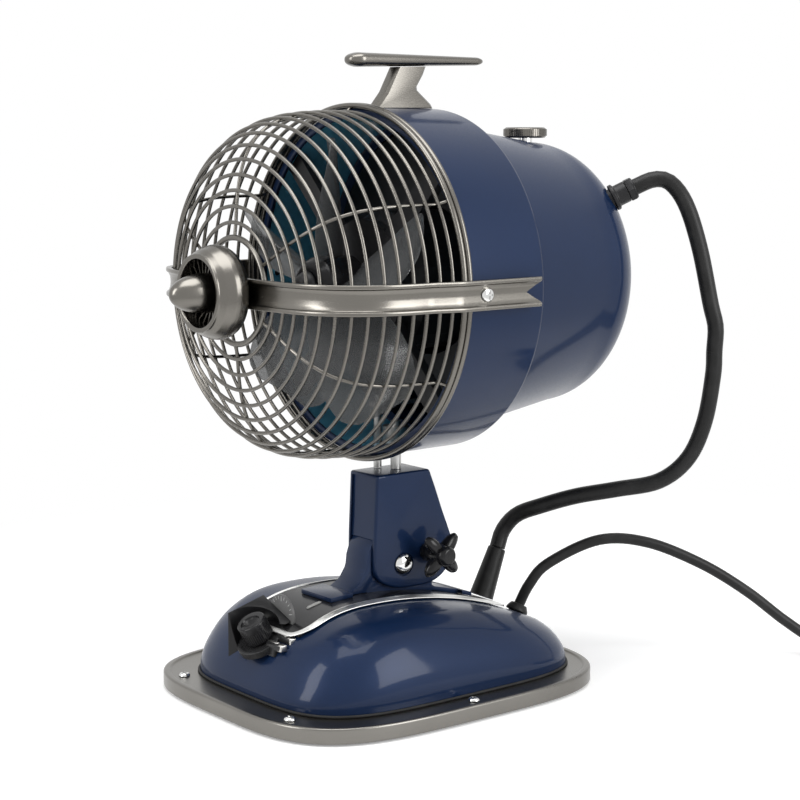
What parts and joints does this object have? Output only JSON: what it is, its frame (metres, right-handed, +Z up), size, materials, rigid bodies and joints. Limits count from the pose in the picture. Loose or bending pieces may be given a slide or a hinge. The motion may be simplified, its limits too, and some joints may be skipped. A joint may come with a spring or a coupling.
{
  "type": "desk fan",
  "caption": "Turbine-shaped desk fan: wire guard with bullet nose, drum head, yoke on an arched base with knob, keys, tilt, swing and mains cord.",
  "frame": {"origin": "under the middle of the base plate, on the table", "axes": "+Z up, +X to the fan's left-hand side as it faces the user, the fan blows towards -Y"},
  "size_m": [0.3836, 0.5014, 0.3784],
  "materials": {
    "satin_nickel": "satin nickel plating",
    "chrome": "bright chrome plating",
    "blue_paint": "glossy dark blue enamel",
    "black_plastic": "black moulded plastic",
    "black_rubber": "black rubber",
    "grey_plastic": "grey plastic",
    "smoky_plastic": "smoky translucent plastic",
    "steel": "plain zinc-plated steel",
    "brass": "sintered bronze bush",
    "motor_iron": "painted motor can"
  },
  "bodies": {
    "base": {"base_plate": "satin_nickel", "bottom_cover": "black_plastic", "rubber_foot_1": "black_rubber", "rubber_foot_2": "black_rubber", "rubber_foot_3": "black_rubber", "rubber_foot_4": "black_rubber", "plate_screw_1": "chrome", "plate_screw_2": "chrome", "plate_screw_3": "chrome", "plate_screw_4": "chrome", "base_body": "blue_paint", "top_panel": "black_plastic", "panel_trim": "chrome", "knob_deck": "grey_plastic", "timer_body": "grey_plastic", "control_pod": "black_plastic", "dial_plate": "grey_plastic", "neck_bracket": "blue_paint", "cord_boot": "black_rubber", "mains_grommet": "black_rubber", "mains_cord": "black_rubber", "mains_cord_coil": "black_rubber", "mains_plug": "black_rubber", "cord_tie": "black_rubber", "head_cord_lower": "black_rubber"},
    "neck": {"yoke": "blue_paint", "tilt_bolt": "chrome", "dome_nut": "chrome", "clamp_nut": "steel", "pivot_post": "steel", "link_pin": "steel"},
    "head": {"front_shell": "blue_paint", "rear_shell": "blue_paint", "guard": "satin_nickel", "strap": "satin_nickel", "strap_screw_right": "steel", "strap_screw_left": "steel", "nacelle": "satin_nickel", "nose_cone": "satin_nickel", "handle_bar": "satin_nickel", "handle_pedestal": "satin_nickel", "motor_body": "motor_iron", "motor_bracket": "black_plastic", "gearbox": "black_plastic", "crank": "steel", "fan_baffle": "black_plastic", "pivot_bush": "brass", "cord_gland": "black_plastic", "gland_nut": "black_plastic", "head_cord_upper": "black_rubber"},
    "rotor": {"rotor_shaft": "steel", "blades": "smoky_plastic", "blade_nut": "black_plastic"},
    "wing": {"wing_screw": "black_plastic"},
    "link": {"link_rod": "steel"},
    "clutch": {"clutch_knob": "satin_nickel"},
    "timer": {"timer_knob": "black_plastic"},
    "key_a": {"key_1": "grey_plastic"},
    "key_b": {"key_2": "grey_plastic"},
    "key_c": {"key_3": "grey_plastic"}
  },
  "joints": [
    {"name": "tilt", "type": "hinge", "parent": "base", "child": "neck", "pos_m": [0, 0.0094, 0.0743], "axis": [1, 0, 0], "range_deg": [-9, 14], "deforming": ["head_cord_lower"]},
    {"name": "swing", "type": "hinge", "parent": "neck", "child": "head", "pos_m": [0, 0.014, 0.1305], "axis": [0, 0, 1], "range_deg": [-40, 40], "deforming": ["head_cord_upper"]},
    {"name": "fan_spin", "type": "hinge", "parent": "head", "child": "rotor", "pos_m": [0, 0, 0.2446], "axis": [0, -1, 0], "continuous": true},
    {"name": "link_follow", "type": "hinge", "parent": "neck", "child": "link", "pos_m": [-0.0095, 0.0074, 0.1685], "axis": [0, 0, 1], "range_deg": [-40, 40]},
    {"name": "clutch_pull", "type": "slide", "parent": "head", "child": "clutch", "axis": [0, 0, 1], "range_m": [0, 0.006]},
    {"name": "wing_turn", "type": "hinge", "parent": "neck", "child": "wing", "pos_m": [0.0141, 0.027, 0.08], "axis": [1, 0, 0], "range_deg": [-180, 180]},
    {"name": "timer_turn", "type": "hinge", "parent": "base", "child": "timer", "pos_m": [0, -0.08655, 0.042], "axis": [0, -0.5, 0.866], "range_deg": [0, 270]},
    {"name": "key_1_press", "type": "slide", "parent": "base", "child": "key_a", "axis": [0, 0, -1], "range_m": [0, 0.002], "stiffness_N_per_m": 250, "springref_m": -0.001},
    {"name": "key_2_press", "type": "slide", "parent": "base", "child": "key_b", "axis": [0, 0, -1], "range_m": [0, 0.002], "stiffness_N_per_m": 250, "springref_m": -0.001},
    {"name": "key_3_press", "type": "slide", "parent": "base", "child": "key_c", "axis": [0, 0, -1], "range_m": [0, 0.002], "stiffness_N_per_m": 250, "springref_m": -0.001}
  ],
  "couplings": [
    {"joint": "link_follow", "follows": "swing", "ratio": 0.93}
  ]
}
